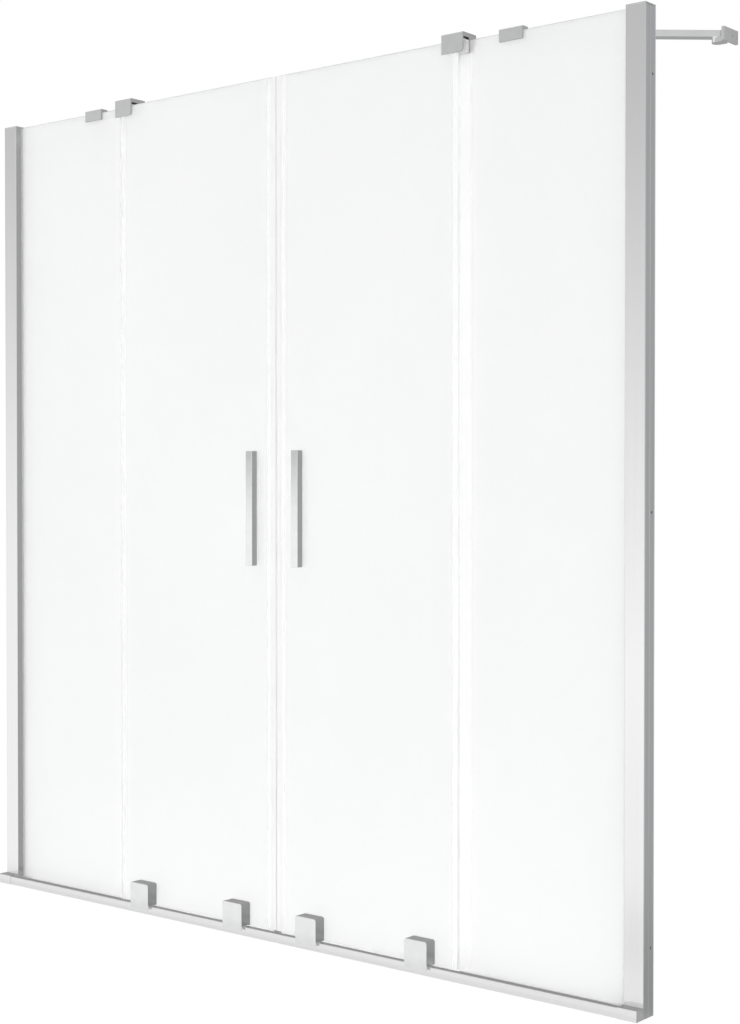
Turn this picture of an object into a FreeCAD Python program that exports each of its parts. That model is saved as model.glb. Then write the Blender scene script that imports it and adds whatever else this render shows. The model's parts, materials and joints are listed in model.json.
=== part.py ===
import FreeCAD, Part
import os
import re
import Sketcher

# Sliding bath screen: two fixed panes and two sliding doors of satin glass between two walls.
# Lengths are millimetres. X runs along the bath rim, Y from the room into the bath, Z up.
# The origin is the middle of the rail's base, on the bath rim.

SIZES = {
    # Whole screen
    "overall_width": 1460,
    "post_height": 1500,
    "glass_thickness": 6,
    # Wall posts and the channels they slide on
    "post_width": 34,
    "post_cover": 14.5,
    "post_wall": 2,
    "post_edge": 0.6,
    "cap_thickness": 2,
    "cap_plug": 6,
    "cap_proud": 1.2,
    "channel_wall": 2,
    "channel_room": 8,
    "channel_drop": 0.5,
    "groove_width": 1.6,
    "groove_depth": 0.6,
    "slide_fit": 0.3,
    "pocket_depth": 15,
    "pocket_clear": 3,
    "wall_hole_radius": 2.25,
    "wall_hole_margin": 103,
    "wall_hole_offset": 6,
    "lock_radius": 1.9,
    "lock_play": 0.15,
    "lock_head_radius": 3.75,
    "lock_head_height": 2.2,
    "lock_bite": 3,
    "lock_margin": 180,
    # Bottom rail: roller track in front, drain trough, glazing channel behind
    "rail_height": 16,
    "rail_wall": 2,
    "rail_edge": 0.8,
    "track_depth": 11,
    "trough_width": 18.5,
    "trough_floor": 3,
    "lip_height": 10,
    "glazing_wall": 2,
    "glazing_gap": 1.5,
    "rear_foot": 7.5,
    "spigot_length": 15,
    "stop_length": 21.6,
    "stop_width": 11,
    "stop_height": 9.5,
    "stop_play": 0.4,
    # Fixed panes
    "sill_pad": 2,
    "pane_drop": 0.2,
    # Door panes
    "door_width": 379,
    "door_overlap": 29,
    "door_setback": 5.5,
    "door_lift": 10,
    "door_drop": 4.5,
    "glass_hole_play": 1.5,
    # Seals
    "seal_skin": 1.2,
    "seal_leg": 9,
    "seal_gap": 0.5,
    "meeting_gap": 0.4,
    "meeting_bulb": 10.8,
    "magnet_play": 0.2,
    "fin_reach": 14.4,
    "fin_clearance": 0.4,
    "drip_leg": 6,
    "drip_clearance": 0.6,
    # Top guides that hold the doors upright
    "guide_width": 42,
    "guide_height": 31,
    "guide_overhang": 1,
    "guide_wall": 2.5,
    "guide_roof": 7,
    "guide_headroom": 3,
    "guide_jaw": 9.75,
    "guide_rounding": 1.5,
    "guide_corner": 5,
    "jaw_clearance": 0.25,
    "glider_skin": 1.1,
    "glider_back_skin": 6.6,
    "glider_clearance": 0.4,
    "glider_end": 0.5,
    "glider_drop": 3.5,
    # Brace clips, braces and wall brackets
    "clip_gap": 58,
    "clip_width": 44,
    "clip_height": 20,
    "clip_roof": 6,
    "clip_wall": 3.25,
    "clip_jaw": 6.75,
    "ear_neck": 13,
    "ear_thickness": 8,
    "ear_drop": 7.5,
    "bar_width": 20,
    "bar_height": 10.5,
    "bar_wall_gap": 1,
    "flange_thickness": 5,
    "flange_length": 46,
    "flange_height": 21.3,
    "flange_rise": 2,
    "flange_hole_margin": 6.5,
    "flange_hole_spacing": 13,
    "flange_hole_radius": 2.25,
    "pivot_radius": 2.5,
    "pivot_play": 0.15,
    "pivot_head_radius": 4.5,
    "pivot_head_height": 3.5,
    "pivot_bite": 6,
    "set_screw_radius": 2.5,
    "set_screw_play": 0.15,
    "set_screw_margin": 7,
    "set_screw_rise": 8,
    "set_screw_recess": 0.5,
    # Roller carriages
    "inner_carriage_inset": 75,
    "outer_carriage_inset": 68,
    "carriage_width": 46,
    "carriage_height": 40,
    "carriage_overhang": 6,
    "carriage_lip": 6,
    "carriage_lift": 1,
    "carriage_wall": 2.5,
    "carriage_rounding": 4,
    "carriage_edge": 0.8,
    "wheel_radius": 11,
    "wheel_width": 7,
    "wheel_inset": 2,
    "wheel_lift": 0.3,
    "wheel_hub_radius": 5.5,
    "wheel_rim": 2.5,
    "wheel_recess": 1.6,
    "wheel_edge": 0.5,
    "axle_radius": 3,
    "axle_play": 0.05,
    "axle_end_gap": 0.2,
    "boss_radius": 5,
    "boss_gap": 0.3,
    "clamp_thickness": 3,
    "clamp_inset": 2,
    "clamp_height": 27,
    "clamp_screw_margin": 7,
    "clamp_screw_drop": 11,
    "screw_radius": 2.5,
    "screw_play": 0.15,
    "screw_bite": 8,
    "screw_head_radius": 4.2,
    "screw_head_height": 2.5,
    # Handles, one bar on each face of each door
    "handle_inset": 42,
    "handle_width": 15,
    "handle_depth": 13,
    "handle_length": 200,
    "handle_rise": 750,
    "handle_edge": 0.8,
    "stud_radius": 2.5,
    "stud_play": 0.15,
    "stud_cover": 4,
    "stud_margin": 20,
}

# Degrees between a brace and the screen
BRACE_ANGLE = 40.8

# Places that follow from the sizes, each written once.
PLACES = {
    # Along the rim
    "half_width": "overall_width / 2",
    "post_inner": "half_width - post_width",
    "pocket_back": "post_inner + pocket_depth",
    "pane_end": "pocket_back - pocket_clear",
    "channel_tip": "post_inner + post_wall + channel_room",
    "door_inner": "meeting_gap / 2 + meeting_bulb",
    "door_outer": "door_inner + door_width",
    "pane_edge": "door_outer - door_overlap",
    "fin_tip": "door_outer + seal_skin + fin_reach",
    "guide_start": "pane_edge - guide_overhang",
    "guide_end": "guide_start + guide_width",
    "guide_middle": "guide_start + guide_width / 2",
    "clip_middle": "guide_end + clip_gap + clip_width / 2",
    "ear_radius": "bar_width / 2",
    "wall_pivot": "half_width - flange_thickness - bar_wall_gap - ear_radius",
    "brace_run": "wall_pivot - clip_middle",
    "brace_length": f"brace_run / cos({BRACE_ANGLE})",
    "handle_middle": "door_inner + handle_inset",
    "stop_start": "post_inner - stop_length",
    "lock_middle": "(pocket_back + post_wall + half_width - channel_wall) / 2",
    "inner_carriage": "door_inner + inner_carriage_inset",
    "outer_carriage": "door_outer - outer_carriage_inset",
    "clamp_width": "carriage_width - 2 * clamp_inset",
    "clamp_screw_spacing": "clamp_width - 2 * clamp_screw_margin",
    # From the room into the bath
    "glazing_width": "2 * glazing_gap + glass_thickness",
    "rail_depth": "track_depth + trough_width + glazing_wall + glazing_width + rear_foot",
    "rail_front": "-rail_depth / 2",
    "rail_back": "rail_depth / 2",
    "track_back": "rail_front + track_depth",
    "trough_back": "track_back + trough_width",
    "glazing_front": "trough_back + glazing_wall",
    "pane_front": "glazing_front + glazing_gap",
    "pane_back": "pane_front + glass_thickness",
    "glazing_back": "pane_back + glazing_gap",
    "post_front": "pane_front - post_cover",
    "channel_front": "post_front + post_wall + slide_fit",
    "channel_back": "rail_back - post_wall - slide_fit",
    "channel_middle": "(channel_front + channel_back) / 2",
    "door_front": "track_back + door_setback",
    "door_back": "door_front + glass_thickness",
    "door_middle": "door_front + glass_thickness / 2",
    "slot_front": "door_front - glider_clearance - glider_skin",
    "guide_front": "slot_front - guide_wall",
    "rib_back": "pane_front - jaw_clearance",
    "slot_back": "door_back + glider_clearance + glider_back_skin",
    "jaw_front": "pane_back + jaw_clearance",
    "guide_back": "jaw_front + guide_jaw",
    "clip_front": "rib_back - clip_wall",
    "clip_back": "jaw_front + clip_jaw",
    "clip_pivot_depth": "clip_back + ear_neck + ear_radius",
    "wall_pivot_depth": f"clip_pivot_depth + brace_run * tan({BRACE_ANGLE})",
    "flange_front": "wall_pivot_depth - ear_radius",
    "flange_back": "flange_front + flange_length",
    "carriage_front": "rail_front - carriage_overhang",
    "wheel_front": "rail_front + wheel_inset",
    "wheel_back": "wheel_front + wheel_width",
    "wheel_depth": "wheel_front + wheel_width / 2",
    "clamp_back": "door_back + clamp_thickness",
    "stud_bite": "handle_depth - stud_cover",
    # Up from the rim
    "post_top": "post_height - cap_thickness",
    "pane_bottom": "trough_floor + sill_pad",
    "pane_top": "post_top - pane_drop",
    "door_top": "post_height - door_drop",
    "drip_top": "door_lift + drip_leg",
    "seal_bottom": "drip_top + seal_gap",
    "guide_ceiling": "pane_top + guide_headroom",
    "guide_top": "guide_ceiling + guide_roof",
    "guide_bottom": "guide_top - guide_height",
    "seal_top": "guide_bottom - seal_gap",
    "clip_ceiling": "pane_top + jaw_clearance",
    "clip_top": "clip_ceiling + clip_roof",
    "clip_bottom": "clip_top - clip_height",
    "ear_top": "clip_top - ear_drop",
    "ear_bottom": "ear_top - ear_thickness",
    "bar_top": "ear_top + bar_height",
    "head_seat": "bar_top - pivot_head_height",
    "flange_bottom": "ear_bottom + flange_rise",
    "flange_top": "flange_bottom + flange_height",
    "carriage_bottom": "rail_height + carriage_lift",
    "carriage_top": "carriage_bottom + carriage_height",
    "lip_bottom": "rail_height - carriage_lip",
    "axle_rise": "rail_height + wheel_lift + wheel_radius",
    "clamp_screw_height": "carriage_top - clamp_screw_drop",
    "clamp_top": "carriage_top - carriage_wall",
    "stud_spacing": "handle_length - 2 * stud_margin",
}

MIRROR_NORMAL = FreeCAD.Vector(1, 0, 0)
FULL_TURN = 360
PARALLEL = 0.999
WORD = re.compile(r"[a-z][a-z0-9_]*")

doc = FreeCAD.newDocument("sliding_bath_screen")
sheet = doc.addObject("Spreadsheet::Sheet", "Sizes")
for row, (alias, value) in enumerate(SIZES.items(), start=1):
    sheet.set(f"A{row}", alias)
    sheet.set(f"B{row}", str(value))
    sheet.setAlias(f"B{row}", alias)
doc.recompute()


def formula(text):
    """Spell a formula out in the cells of the sheet."""
    def spell(match):
        name = match.group(0)
        if name in PLACES:
            return f"({formula(PLACES[name])})"
        return f"Sizes.{name}" if name in SIZES else name
    return WORD.sub(spell, str(text))


def number(text):
    return float(sheet.evalExpression(formula(text)))


def bind(thing, **formulas):
    for prop, text in formulas.items():
        thing.setExpression(prop.replace("__", "."), formula(text))


def bind_base(thing, x, y, z):
    bind(thing, Placement__Base__x=x, Placement__Base__y=y, Placement__Base__z=z)


def outline(body, name, plane, offset, loops):
    """A sketch of closed loops whose corners are all bound to the sheet."""
    sketch = body.newObject("Sketcher::SketchObject", name)
    support = next(item for item in body.Origin.OriginFeatures if item.Role == plane)
    sketch.AttachmentSupport = (support, [""])
    sketch.MapMode = "FlatFace"
    bind(sketch, AttachmentOffset__Base__z=offset)
    for corners in loops:
        spots = [FreeCAD.Vector(number(across), number(along), 0) for across, along in corners]
        first = sketch.GeometryCount
        for index, spot in enumerate(spots):
            sketch.addGeometry(Part.LineSegment(spot, spots[(index + 1) % len(spots)]))
        for index, (across, along) in enumerate(corners):
            line = first + index
            following = first + (index + 1) % len(corners)
            sketch.addConstraint(Sketcher.Constraint("Coincident", line, 2, following, 1))
            spot = spots[index]
            for kind, text, value in (("DistanceX", across, spot.x), ("DistanceY", along, spot.y)):
                datum = sketch.addConstraint(Sketcher.Constraint(kind, -1, 1, line, 1, value))
                sketch.setExpression(f"Constraints[{datum}]", formula(text))
    return sketch


def extrusion(label, plane, low, high, *loops):
    """A profile drawn across one axis and pulled along it from low to high."""
    body = doc.addObject("PartDesign::Body", label)
    start = f"-({high})" if plane == "XZ_Plane" else low
    sketch = outline(body, f"{label}_profile", plane, start, loops)
    pad = body.newObject("PartDesign::Pad", f"{label}_pad")
    pad.Profile = sketch
    bind(pad, Length=f"({high}) - ({low})")
    doc.recompute()
    return body


def round_edges(body, name, radius, chosen):
    """Fillet the edges of the body's tip for which chosen(edge) is true."""
    base = body.Tip
    edges = [f"Edge{index}" for index, edge in enumerate(base.Shape.Edges, start=1) if chosen(edge)]
    fillet = body.newObject("PartDesign::Fillet", name)
    fillet.Base = (base, edges)
    bind(fillet, Radius=radius)
    doc.recompute()
    return body


def runs_along(axis):
    """A test for straight edges that run along X (0), Y (1) or Z (2)."""
    def test(edge):
        step = edge.Vertexes[-1].Point - edge.Vertexes[0].Point
        return step.Length > 0 and abs(step[axis]) > PARALLEL * step.Length
    return test


def ends_at(spot):
    """A test for edges that have one end at the spot."""
    def test(edge):
        return any(end.Point.isEqual(spot, edge.Tolerance) for end in edge.Vertexes)
    return test


def rectangle(across, along):
    (left, right), (low, high) = across, along
    return [(left, low), (right, low), (right, high), (left, high)]


def about(middle, width):
    return f"{middle} - ({width}) / 2", f"{middle} + ({width}) / 2"


def block(name, x, y, z):
    box = doc.addObject("Part::Box", name)
    for prop, (low, high) in (("Length", x), ("Width", y), ("Height", z)):
        bind(box, **{prop: f"({high}) - ({low})"})
    bind_base(box, x[0], y[0], z[0])
    return box


def rod(name, axis, x, y, z, radius):
    """A cylinder: the pair among x, y and z that belongs to its axis holds its two ends."""
    turns = {
        "x": FreeCAD.Rotation(FreeCAD.Vector(0, 1, 0), 90),
        "y": FreeCAD.Rotation(FreeCAD.Vector(1, 0, 0), -90),
        "z": FreeCAD.Rotation(),
    }
    ends = {"x": x, "y": y, "z": z}[axis]
    cylinder = doc.addObject("Part::Cylinder", name)
    cylinder.Placement = FreeCAD.Placement(FreeCAD.Vector(), turns[axis])
    bind(cylinder, Radius=radius, Height=f"({ends[1]}) - ({ends[0]})")
    bind_base(cylinder, *(place[0] if isinstance(place, tuple) else place for place in (x, y, z)))
    return cylinder


def fuse(label, shapes):
    joined = doc.addObject("Part::MultiFuse", label)
    joined.Shapes = shapes
    joined.Refine = True
    return joined


def cut(label, base, tools):
    result = doc.addObject("Part::Cut", label)
    result.Base = base
    result.Tool = tools[0] if len(tools) == 1 else fuse(f"{label}_tools", tools)
    result.Refine = True
    return result


def group(label, solids):
    together = doc.addObject("Part::Compound", label)
    together.Links = solids
    return together


def mirrored(label, source):
    twin = doc.addObject("Part::Mirroring", label)
    twin.Source = source
    twin.Normal = MIRROR_NORMAL
    return twin


nodes = []


def keep(*things):
    nodes.extend(things)


def keep_pair(name, right):
    """Keep a right-hand piece and its mirror image on the left."""
    right.Label = f"right_{name}"
    keep(right, mirrored(f"left_{name}", right))


def bottom_rail():
    """Extruded rail: hollow roller track, drain trough, glazing channel and a foot behind it."""
    section = [
        ("rail_front", "0"),
        ("rail_back", "0"),
        ("rail_back", "trough_floor"),
        ("glazing_back + glazing_wall", "trough_floor"),
        ("glazing_back + glazing_wall", "lip_height"),
        ("glazing_back", "lip_height"),
        ("glazing_back", "trough_floor"),
        ("glazing_front", "trough_floor"),
        ("glazing_front", "lip_height"),
        ("trough_back", "lip_height"),
        ("trough_back", "trough_floor"),
        ("track_back", "trough_floor"),
        ("track_back", "rail_height"),
        ("rail_front + rail_edge", "rail_height"),
        ("rail_front", "rail_height - rail_edge"),
    ]
    chamber = rectangle(
        ("rail_front + rail_wall", "track_back - rail_wall"), ("rail_wall", "rail_height - rail_wall"),
    )
    keep(extrusion("threshold_rail", "YZ_Plane", "-post_inner", "post_inner", section, chamber))


def rail_end_cap():
    """Block in front of the post, a little larger than the rail, with a spigot in the track's chamber."""
    section = [
        ("rail_front - cap_proud", "0"),
        ("post_front", "0"),
        ("post_front", "rail_height + cap_proud"),
        ("rail_front - cap_proud + rail_edge", "rail_height + cap_proud"),
        ("rail_front - cap_proud", "rail_height + cap_proud - rail_edge"),
    ]
    cap = extrusion("end_cap_block", "YZ_Plane", "post_inner", "half_width", section)
    spigot = block(
        "end_cap_spigot",
        ("post_inner - spigot_length", "post_inner"),
        ("rail_front + rail_wall + slide_fit", "track_back - rail_wall - slide_fit"),
        ("rail_wall + slide_fit", "rail_height - rail_wall - slide_fit"),
    )
    keep_pair("rail_end_cap", fuse("right_rail_end_cap", [cap, spigot]))


LOCK_HEIGHTS = ("lock_margin", "post_height / 2", "post_height - lock_margin")


def lock_holes(name, depth):
    return [
        rod(f"{name}_{index}", "y", "lock_middle", depth, height, "lock_radius + lock_play")
        for index, height in enumerate(LOCK_HEIGHTS)
    ]


def wall_post():
    """Post that grips the fixed pane in a pocket and slides over the wall channel to take up the width."""
    section = [
        ("half_width", "post_front"),
        ("post_inner + post_edge", "post_front"),
        ("post_inner", "post_front + post_edge"),
        ("post_inner", "glazing_front"),
        ("pocket_back", "glazing_front"),
        ("pocket_back", "glazing_back"),
        ("post_inner", "glazing_back"),
        ("post_inner", "rail_back - post_edge"),
        ("post_inner + post_edge", "rail_back"),
        ("half_width", "rail_back"),
        ("half_width", "rail_back - post_wall"),
        ("post_inner + post_wall", "rail_back - post_wall"),
        ("post_inner + post_wall", "glazing_back + post_wall"),
        ("pocket_back + post_wall", "glazing_back + post_wall"),
        ("pocket_back + post_wall", "glazing_front - post_wall"),
        ("post_inner + post_wall", "glazing_front - post_wall"),
        ("post_inner + post_wall", "post_front + post_wall"),
        ("half_width", "post_front + post_wall"),
    ]
    profile = extrusion("post_profile", "XY_Plane", "0", "post_top", section)
    holes = lock_holes("post_lock_hole", ("rail_back - post_wall - slide_fit", "rail_back + slide_fit"))
    keep_pair("post", cut("right_post", profile, holes))


def wall_channel():
    """Channel screwed to the wall, inside the post, with a drilling groove along its wall face."""
    groove_low, groove_high = about("channel_middle", "groove_width")
    section = [
        ("half_width", "channel_front"),
        ("half_width", groove_low),
        ("half_width - groove_depth", "channel_middle"),
        ("half_width", groove_high),
        ("half_width", "channel_back"),
        ("channel_tip", "channel_back"),
        ("channel_tip", "channel_back - channel_wall"),
        ("half_width - channel_wall", "channel_back - channel_wall"),
        ("half_width - channel_wall", "channel_front + channel_wall"),
        ("channel_tip", "channel_front + channel_wall"),
        ("channel_tip", "channel_front"),
    ]
    profile = extrusion("channel_profile", "XY_Plane", "0", "post_top - channel_drop", section)
    heights = ("wall_hole_margin", "post_height / 2", "post_height - wall_hole_margin")
    through_web = ("half_width - channel_wall - slide_fit", "half_width + slide_fit")
    hole_middle = "channel_middle + wall_hole_offset"
    holes = [
        rod(f"wall_hole_{index}", "x", through_web, hole_middle, height, "wall_hole_radius")
        for index, height in enumerate(heights)
    ]
    through_leg = ("channel_back - channel_wall - slide_fit", "channel_back + slide_fit")
    holes += lock_holes("channel_lock_hole", through_leg)
    keep_pair("wall_channel", cut("right_wall_channel", profile, holes))


def post_cap():
    """Flat cover on the post's top, with a plug between the post's front wall and its pocket."""
    plate = block(
        "cap_plate",
        ("post_inner", "half_width"),
        ("post_front", "rail_back"),
        ("post_top", "post_height"),
    )
    plug = block(
        "cap_plug_block",
        ("post_inner + post_wall + slide_fit", "channel_tip - slide_fit"),
        ("post_front + post_wall + slide_fit", "glazing_front - post_wall - slide_fit"),
        ("post_top - cap_plug", "post_top"),
    )
    keep_pair("post_cap", fuse("right_post_cap", [plate, plug]))


def screw(name, axis, x, y, z, radius, head, head_radius):
    """A shank and its round head, in line; head holds the two ends of the head along the axis."""
    places = {"x": x, "y": y, "z": z}
    shank = rod(f"{name}_shank", axis, x, y, z, radius)
    places[axis] = head
    top = rod(f"{name}_head", axis, places["x"], places["y"], places["z"], head_radius)
    return fuse(name, [shank, top])


def post_lock_screws():
    """Screws on the bath side that lock each post to its channel."""
    right = [
        screw(
            f"lock_screw_{index}", "y", "lock_middle",
            ("channel_back - channel_wall - lock_bite", "rail_back"), height, "lock_radius",
            ("rail_back", "rail_back + lock_head_height"), "lock_head_radius",
        )
        for index, height in enumerate(LOCK_HEIGHTS)
    ]
    left = [mirrored(f"{one.Name}_left", one) for one in right]
    keep(group("post_lock_screws", right + left))


def fixed_pane():
    pane = block(
        "right_fixed_pane",
        ("pane_edge", "pane_end"),
        ("pane_front", "pane_back"),
        ("pane_bottom", "pane_top"),
    )
    keep_pair("fixed_pane", pane)


def glazing_gaskets():
    """Gaskets round the fixed panes: upright in the post's pocket, level in the rail's channel."""
    upright = [
        ("post_inner", "glazing_front"),
        ("pocket_back", "glazing_front"),
        ("pocket_back", "glazing_back"),
        ("post_inner", "glazing_back"),
        ("post_inner", "pane_back"),
        ("pane_end", "pane_back"),
        ("pane_end", "pane_front"),
        ("post_inner", "pane_front"),
    ]
    post_side = extrusion("post_gasket_right", "XY_Plane", "rail_height", "pane_top", upright)
    keep(group("post_gaskets", [post_side, mirrored("post_gasket_left", post_side)]))
    level = [
        ("glazing_front", "trough_floor"),
        ("glazing_back", "trough_floor"),
        ("glazing_back", "lip_height"),
        ("pane_back", "lip_height"),
        ("pane_back", "pane_bottom"),
        ("pane_front", "pane_bottom"),
        ("pane_front", "lip_height"),
        ("glazing_front", "lip_height"),
    ]
    sill_side = extrusion("sill_gasket_right", "YZ_Plane", "pane_edge", "post_inner", level)
    keep(group("sill_gaskets", [sill_side, mirrored("sill_gasket_left", sill_side)]))


def pane_edge_seal():
    """Edge trim on the free edge of a fixed pane."""
    section = [
        ("pane_edge - seal_skin", "pane_front - seal_skin"),
        ("pane_edge + seal_leg", "pane_front - seal_skin"),
        ("pane_edge + seal_leg", "pane_front"),
        ("pane_edge", "pane_front"),
        ("pane_edge", "pane_back"),
        ("pane_edge + seal_leg", "pane_back"),
        ("pane_edge + seal_leg", "pane_back + seal_skin"),
        ("pane_edge - seal_skin", "pane_back + seal_skin"),
    ]
    bottom = "lip_height + seal_gap"
    keep_pair("pane_edge_seal", extrusion("right_pane_edge_seal", "XY_Plane", bottom, "seal_top", section))


def set_screw_places(middle, width):
    return about(middle, f"{width} - 2 * set_screw_margin")


def set_screw_holes(name, middle, width, back, height):
    through = ("jaw_front - slide_fit", f"{back} + slide_fit")
    return [
        rod(f"{name}_{index}", "y", place, through, height, "set_screw_radius + set_screw_play")
        for index, place in enumerate(set_screw_places(middle, width))
    ]


GUIDE_SCREW_HEIGHT = "guide_bottom + set_screw_rise"
CLIP_SCREW_HEIGHT = "clip_bottom + set_screw_rise"


def top_guide():
    """Guide clamped on each fixed pane's free corner: its front slot holds the door upright.

    Both sides use the same casting, so the rounded lower corner is on the same hand.
    """
    section = [
        ("guide_front", "guide_bottom"),
        ("slot_front", "guide_bottom"),
        ("slot_front", "guide_ceiling"),
        ("slot_back", "guide_ceiling"),
        ("slot_back", "guide_bottom"),
        ("rib_back", "guide_bottom"),
        ("rib_back", "clip_ceiling"),
        ("jaw_front", "clip_ceiling"),
        ("jaw_front", "guide_bottom"),
        ("guide_back", "guide_bottom"),
        ("guide_back", "guide_top"),
        ("guide_front", "guide_top"),
    ]
    roof = number("guide_top")
    for side, middle in (("right", "guide_middle"), ("left", "-guide_middle")):
        low, high = about(middle, "guide_width")
        body = extrusion(f"{side}_guide_body", "YZ_Plane", low, high, section)
        round_edges(body, f"{side}_guide_soft_edges", "guide_rounding",
                    lambda edge: runs_along(0)(edge) and abs(edge.BoundBox.ZMin - roof) < edge.Tolerance)
        corner = FreeCAD.Vector(number(high), number("slot_front"), number("guide_bottom"))
        round_edges(body, f"{side}_guide_corner", "guide_corner",
                    lambda edge: runs_along(1)(edge) and ends_at(corner)(edge))
        holes = set_screw_holes(
            f"{side}_guide_screw_hole", middle, "guide_width", "guide_back", GUIDE_SCREW_HEIGHT,
        )
        keep(cut(f"{side}_top_guide", body, holes))


def guide_glider():
    """Nylon liner in the guide's front slot, which the door's top edge runs through."""
    section = [
        ("slot_front", "guide_bottom + glider_end"),
        ("door_front - glider_clearance", "guide_bottom + glider_end"),
        ("door_front - glider_clearance", "door_top + glider_end"),
        ("door_back + glider_clearance", "door_top + glider_end"),
        ("door_back + glider_clearance", "guide_bottom + glider_end"),
        ("slot_back", "guide_bottom + glider_end"),
        ("slot_back", "guide_ceiling - glider_drop"),
        ("slot_front", "guide_ceiling - glider_drop"),
    ]
    low, high = "guide_start + glider_end", "guide_end - glider_end"
    keep_pair("guide_glider", extrusion("right_guide_glider", "YZ_Plane", low, high, section))


def pivot_hole(name, x, y):
    """Blind hole in the top of an ear for the thread of a pivot screw."""
    depth = ("ear_top - pivot_bite - slide_fit", "ear_top + slide_fit")
    return rod(f"{name}_eye", "z", x, y, depth, "pivot_radius + pivot_play")


def brace_clip():
    """Clip on the fixed pane's top edge, with an ear behind the glass for the brace."""
    section = [
        ("clip_front", "clip_bottom"),
        ("rib_back", "clip_bottom"),
        ("rib_back", "clip_ceiling"),
        ("jaw_front", "clip_ceiling"),
        ("jaw_front", "clip_bottom"),
        ("clip_back", "clip_bottom"),
        ("clip_back", "clip_top"),
        ("clip_front", "clip_top"),
    ]
    low, high = about("clip_middle", "clip_width")
    body = extrusion("clip_body", "YZ_Plane", low, high, section)
    roof = number("clip_top")
    round_edges(body, "clip_soft_edges", "guide_rounding",
                lambda edge: runs_along(0)(edge) and abs(edge.BoundBox.ZMin - roof) < edge.Tolerance)
    ear_height = ("ear_bottom", "ear_top")
    neck = block("clip_neck", about("clip_middle", "2 * ear_radius"),
                 ("clip_back", "clip_pivot_depth"), ear_height)
    tip = rod("clip_ear", "z", "clip_middle", "clip_pivot_depth", ear_height, "ear_radius")
    holes = set_screw_holes("clip_screw_hole", "clip_middle", "clip_width", "clip_back", CLIP_SCREW_HEIGHT)
    holes.append(pivot_hole("clip", "clip_middle", "clip_pivot_depth"))
    solid = fuse("clip_with_ear", [body, neck, tip])
    keep_pair("brace_clip", cut("right_brace_clip", solid, holes))


def clip_set_screws():
    """Headless screws that clamp the guides and clips on the fixed panes."""
    right = []
    for name, middle, width, back, height in (
        ("guide_set_screw", "guide_middle", "guide_width", "guide_back", GUIDE_SCREW_HEIGHT),
        ("clip_set_screw", "clip_middle", "clip_width", "clip_back", CLIP_SCREW_HEIGHT),
    ):
        for index, place in enumerate(set_screw_places(middle, width)):
            ends = ("pane_back", f"{back} - set_screw_recess")
            right.append(rod(f"{name}_{index}", "y", place, ends, height, "set_screw_radius"))
    left = [mirrored(f"{one.Name}_left", one) for one in right]
    keep(group("clip_set_screws", right + left))


def brace_bar():
    """Flat bar with round ends, on the clip's ear and the wall bracket's ear, recessed for two screws."""
    height = ("0", "bar_height")
    pieces = [block("bar_middle", ("0", "brace_length"), about("0", "bar_width"), height)]
    holes = []
    for index, place in enumerate(("0", "brace_length")):
        pieces.append(rod(f"bar_end_{index}", "z", place, "0", height, "bar_width / 2"))
        holes.append(rod(f"bar_eye_{index}", "z", place, "0", ("-slide_fit", "bar_height"),
                         "pivot_radius + pivot_play"))
        holes.append(rod(f"bar_recess_{index}", "z", place, "0",
                         ("bar_height - pivot_head_height", "bar_height + slide_fit"),
                         "pivot_head_radius + pivot_play"))
    bar = cut("right_brace_bar", fuse("bar_body", pieces), holes)
    turn = FreeCAD.Rotation(FreeCAD.Vector(0, 0, 1), BRACE_ANGLE)
    bar.Placement = FreeCAD.Placement(FreeCAD.Vector(), turn)
    bind_base(bar, "clip_middle", "clip_pivot_depth", "ear_top")
    keep_pair("brace_bar", bar)


def wall_bracket():
    """Wall flange with an ear under the end of the brace."""
    flange = block("flange", ("half_width - flange_thickness", "half_width"),
                   ("flange_front", "flange_back"), ("flange_bottom", "flange_top"))
    ear_height = ("ear_bottom", "ear_top")
    neck = block("bracket_neck", ("wall_pivot", "half_width - flange_thickness"),
                 about("wall_pivot_depth", "2 * ear_radius"), ear_height)
    tip = rod("bracket_ear", "z", "wall_pivot", "wall_pivot_depth", ear_height, "ear_radius")
    through_flange = ("half_width - flange_thickness - slide_fit", "half_width + slide_fit")
    last_hole = "flange_back - flange_hole_margin"
    holes = [pivot_hole("bracket", "wall_pivot", "wall_pivot_depth")]
    for index, place in enumerate((f"{last_hole} - flange_hole_spacing", last_hole)):
        holes.append(rod(f"flange_hole_{index}", "x", through_flange, place,
                         "(flange_bottom + flange_top) / 2", "flange_hole_radius"))
    solid = fuse("bracket_body", [flange, neck, tip])
    keep_pair("wall_bracket", cut("right_wall_bracket", solid, holes))


def brace_pivot_screws():
    """Screws from above that hold each end of a brace on its ear, with their heads flush."""
    pivots = (
        ("clip", "clip_middle", "clip_pivot_depth"),
        ("wall", "wall_pivot", "wall_pivot_depth"),
    )
    right = [
        screw(
            f"pivot_screw_{name}", "z", x, y, ("ear_top - pivot_bite", "head_seat"), "pivot_radius",
            ("head_seat", "bar_top"), "pivot_head_radius",
        )
        for name, x, y in pivots
    ]
    left = [mirrored(f"{one.Name}_left", one) for one in right]
    keep(group("brace_pivot_screws", right + left))


def door_stops():
    """Rubber blocks at the ends of the trough, which stop the door panes."""
    right = block(
        "stop_right", ("stop_start", "post_inner"), about("door_middle", "stop_width"),
        ("trough_floor", "trough_floor + stop_height"),
    )
    keep(group("door_stops", [right, mirrored("stop_left", right)]))


CARRIAGES = (("inner", "inner_carriage"), ("outer", "outer_carriage"))


def clamp_screw_places():
    return [place for _, middle in CARRIAGES for place in about(middle, "clamp_screw_spacing")]


def stud_heights():
    return about("handle_rise", "stud_spacing")


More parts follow.
